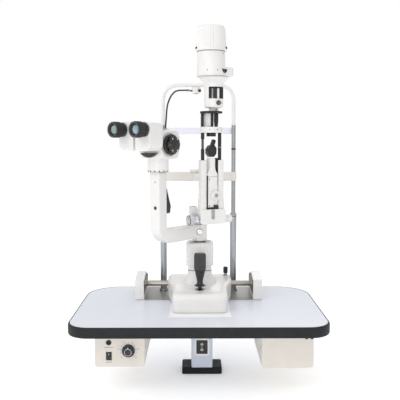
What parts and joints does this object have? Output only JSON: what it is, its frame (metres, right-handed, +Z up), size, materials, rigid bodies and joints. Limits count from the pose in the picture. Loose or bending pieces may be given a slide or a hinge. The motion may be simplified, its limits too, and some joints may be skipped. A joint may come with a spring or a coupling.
{
  "type": "slit lamp",
  "caption": "Slit lamp on a small lifting table: binocular microscope and tilting illumination tower on a joystick base, with a chin and forehead rest.",
  "frame": {"origin": "on the floor, under the centre of the table", "axes": "+X to the operator's right, +Y from the operator towards the patient, +Z up"},
  "size_m": [0.6, 0.4, 0.856],
  "materials": {
    "white_enamel": "warm white gloss enamel on castings",
    "white_casting": "warm white gloss enamel on light alloy castings",
    "white_plastic": "warm white moulded plastic",
    "white_tube": "white enamelled tube",
    "cream_sheet": "cream powder coat",
    "cream_box": "cream powder coat on folded sheet",
    "laminate": "pale laminate on board",
    "forehead_strap": "pale soft plastic",
    "chin_beige": "beige enamel",
    "chin_plastic": "beige moulded plastic",
    "edge_rubber": "black soft edging",
    "foot_black": "black satin paint",
    "black_plastic": "black moulded plastic",
    "black_anodised": "black anodised",
    "grip_plastic": "dark grey ribbed grip",
    "eyepiece_rubber": "black ribbed rubber",
    "steel": "satin steel",
    "axle_steel": "warm ground steel",
    "chrome": "bright chrome",
    "column_aluminium": "silver-blue anodised",
    "winding": "laminated core and copper winding"
  },
  "bodies": {
    "foot": {"foot_plate": "foot_black", "outer_column": "column_aluminium", "column_bezel": "white_plastic", "switch_panel": "black_plastic"},
    "up_button": {"up_button": "white_plastic"},
    "down_button": {"down_button": "white_plastic"},
    "table": {"inner_column": "column_aluminium", "tabletop": "laminate", "edge_trim": "edge_rubber", "glide_plate": "white_plastic", "power_box": "cream_box", "power_panel": "cream_sheet", "fixation_jack": "black_plastic", "transformer": "winding", "drawer_housing": "cream_box", "left_rail": "white_enamel", "right_rail": "white_enamel", "left_headrest_post": "steel", "right_headrest_post": "steel", "headrest_bow": "white_tube", "forehead_band": "forehead_strap", "chin_bar": "chin_beige"},
    "power_rocker": {"power_rocker": "black_plastic"},
    "brightness_knob": {"brightness_knob": "black_plastic"},
    "drawer": {"drawer_tray": "cream_box"},
    "chin_cup": {"chin_cup": "chin_plastic"},
    "chin_knob": {"chin_height_knob": "white_plastic"},
    "fixation_arm": {"fixation_arm": "black_anodised"},
    "carriage": {"axle_sleeve": "steel"},
    "axle": {"wheel_axle": "axle_steel"},
    "base": {"base_shell": "white_casting", "height_guide": "white_enamel"},
    "base_lock": {"base_lock_knob": "black_plastic"},
    "gimbal": {"joystick_gimbal": "steel"},
    "stick": {"joystick_shaft": "black_plastic"},
    "grip": {"joystick_grip": "grip_plastic"},
    "post": {"post_shell": "white_enamel", "pivot_spindle": "steel"},
    "microscope": {"microscope_arm": "white_casting", "microscope_body": "white_casting", "objective_lens": "black_anodised", "binocular_mount": "black_anodised"},
    "swing_lock": {"swing_lock_screw": "chrome"},
    "magnification": {"magnification_knob": "black_anodised"},
    "left_prism": {"left_prism_box": "white_casting"},
    "right_prism": {"right_prism_box": "white_casting"},
    "left_eyepiece": {"left_eyepiece": "eyepiece_rubber"},
    "right_eyepiece": {"right_eyepiece": "eyepiece_rubber"},
    "lamp_arm": {"illumination_arm": "white_enamel"},
    "tower": {"yoke": "white_enamel", "prism_column": "white_enamel", "tower_frame": "white_enamel"},
    "slit_width": {"slit_width_shaft": "chrome"},
    "centering": {"centering_knob": "chrome"},
    "mirror": {"mirror_holder": "black_anodised"},
    "lamp_head": {"slit_unit": "black_anodised", "lamp_body": "white_casting", "lamp_housing": "white_casting", "lamp_cap": "white_plastic"},
    "filter": {"filter_wheel": "black_plastic"}
  },
  "joints": [
    {"name": "up_press", "type": "slide", "parent": "foot", "child": "up_button", "axis": [0, 1, 0], "range_m": [0, 0.001], "stiffness_N_per_m": 300},
    {"name": "down_press", "type": "slide", "parent": "foot", "child": "down_button", "axis": [0, 1, 0], "range_m": [0, 0.001], "stiffness_N_per_m": 300},
    {"name": "table_lift", "type": "slide", "parent": "foot", "child": "table", "axis": [0, 0, 1], "range_m": [0, 0.07]},
    {"name": "rocker_tilt", "type": "hinge", "parent": "table", "child": "power_rocker", "pos_m": [-0.207, -0.1525, 0.09], "axis": [1, 0, 0], "range_deg": [-7, 7]},
    {"name": "brightness_turn", "type": "hinge", "parent": "table", "child": "brightness_knob", "pos_m": [-0.162, -0.154, 0.103], "axis": [0, -1, 0], "range_deg": [0, 300]},
    {"name": "drawer_slide", "type": "slide", "parent": "table", "child": "drawer", "axis": [0, -1, 0], "range_m": [0, 0.12]},
    {"name": "chin_lift", "type": "slide", "parent": "table", "child": "chin_cup", "axis": [0, 0, 1], "range_m": [0, 0.015]},
    {"name": "chin_knob_turn", "type": "hinge", "parent": "table", "child": "chin_knob", "pos_m": [0, 0.127, 0.4885], "axis": [0, -1, 0], "range_deg": [0, 287]},
    {"name": "fixation_swing", "type": "hinge", "parent": "table", "child": "fixation_arm", "pos_m": [-0.006, 0.149, 0.717], "axis": [0, 0, 1], "range_deg": [-20, 60]},
    {"name": "carriage_roll", "type": "slide", "parent": "table", "child": "carriage", "axis": [0, 1, 0], "range_m": [-0.045, 0.015]},
    {"name": "axle_turn", "type": "hinge", "parent": "carriage", "child": "axle", "pos_m": [0, 0.108, 0.2], "axis": [1, 0, 0], "range_deg": [-75, 218]},
    {"name": "base_slide", "type": "slide", "parent": "carriage", "child": "base", "axis": [1, 0, 0], "range_m": [-0.04, 0.04]},
    {"name": "base_lock_turn", "type": "hinge", "parent": "base", "child": "base_lock", "pos_m": [0.072, 0.097, 0.237], "axis": [0, 0, 1], "range_deg": [0, 120]},
    {"name": "stick_fore_aft", "type": "hinge", "parent": "base", "child": "gimbal", "pos_m": [0.003, -0.033, 0.207], "axis": [1, 0, 0], "range_deg": [-12, 12]},
    {"name": "stick_sideways", "type": "hinge", "parent": "gimbal", "child": "stick", "pos_m": [0.003, -0.033, 0.207], "axis": [0, 1, 0], "range_deg": [-12, 12]},
    {"name": "grip_turn", "type": "hinge", "parent": "stick", "child": "grip", "pos_m": [0.003, -0.033, 0.267], "axis": [0, 0, 1], "range_deg": [-362, 362]},
    {"name": "post_height", "type": "slide", "parent": "base", "child": "post", "axis": [0, 0, 1], "range_m": [-0.012, 0.012]},
    {"name": "microscope_swing", "type": "hinge", "parent": "post", "child": "microscope", "pos_m": [0.003, 0.04, 0.353], "axis": [0, 0, 1], "range_deg": [-15, 40]},
    {"name": "swing_lock_turn", "type": "hinge", "parent": "microscope", "child": "swing_lock", "pos_m": [0.003, 0.015, 0.353], "axis": [0, -1, 0], "range_deg": [0, 180]},
    {"name": "magnification_turn", "type": "hinge", "parent": "microscope", "child": "magnification", "pos_m": [-0.06555, -0.09983, 0.573], "axis": [0.7547, -0.6561, 0], "continuous": true},
    {"name": "left_prism_turn", "type": "hinge", "parent": "microscope", "child": "left_prism", "pos_m": [-0.13651, -0.10372, 0.573], "axis": [-0.6561, -0.7547, 0], "range_deg": [-2.5, 6]},
    {"name": "right_prism_turn", "type": "hinge", "parent": "microscope", "child": "right_prism", "pos_m": [-0.11991, -0.11816, 0.573], "axis": [-0.6561, -0.7547, 0], "range_deg": [-6, 2.5]},
    {"name": "left_dioptre_turn", "type": "hinge", "parent": "left_prism", "child": "left_eyepiece", "pos_m": [-0.18728, -0.12585, 0.607], "axis": [-0.6561, -0.7547, 0], "range_deg": [-120, 120]},
    {"name": "right_dioptre_turn", "type": "hinge", "parent": "right_prism", "child": "right_eyepiece", "pos_m": [-0.13475, -0.17151, 0.607], "axis": [-0.6561, -0.7547, 0], "range_deg": [-120, 120]},
    {"name": "lamp_swing", "type": "hinge", "parent": "post", "child": "lamp_arm", "pos_m": [0.003, 0.04, 0.387], "axis": [0, 0, 1], "range_deg": [-60, 30]},
    {"name": "tower_tilt", "type": "hinge", "parent": "lamp_arm", "child": "tower", "pos_m": [0.03017, -0.02559, 0.39], "axis": [0.9239, 0.3827, 0], "range_deg": [0, 20]},
    {"name": "slit_width_turn", "type": "hinge", "parent": "tower", "child": "slit_width", "pos_m": [0.03017, -0.02559, 0.39], "axis": [0.9239, 0.3827, 0], "range_deg": [0, 270]},
    {"name": "centering_turn", "type": "hinge", "parent": "tower", "child": "centering", "pos_m": [0.04061, -0.03642, 0.45], "axis": [0.3827, -0.9239, 0], "range_deg": [0, 180]},
    {"name": "mirror_tilt", "type": "hinge", "parent": "tower", "child": "mirror", "pos_m": [0.03017, -0.02559, 0.553], "axis": [0.9239, 0.3827, 0], "range_deg": [-4, 4]},
    {"name": "slit_turn", "type": "hinge", "parent": "tower", "child": "lamp_head", "pos_m": [0.03017, -0.02559, 0.65], "axis": [0, 0, 1], "range_deg": [-90, 90]},
    {"name": "filter_turn", "type": "hinge", "parent": "lamp_head", "child": "filter", "pos_m": [0.05387, -0.02011, 0.747], "axis": [0, 0, 1], "continuous": true}
  ],
  "couplings": [
    {"joint": "axle_turn", "follows": "carriage_roll", "rad_per_m": -83.333},
    {"joint": "grip_turn", "follows": "post_height", "rad_per_m": 523.6},
    {"joint": "chin_knob_turn", "follows": "chin_lift", "rad_per_m": 333.33},
    {"joint": "right_prism_turn", "follows": "left_prism_turn", "ratio": -1}
  ]
}
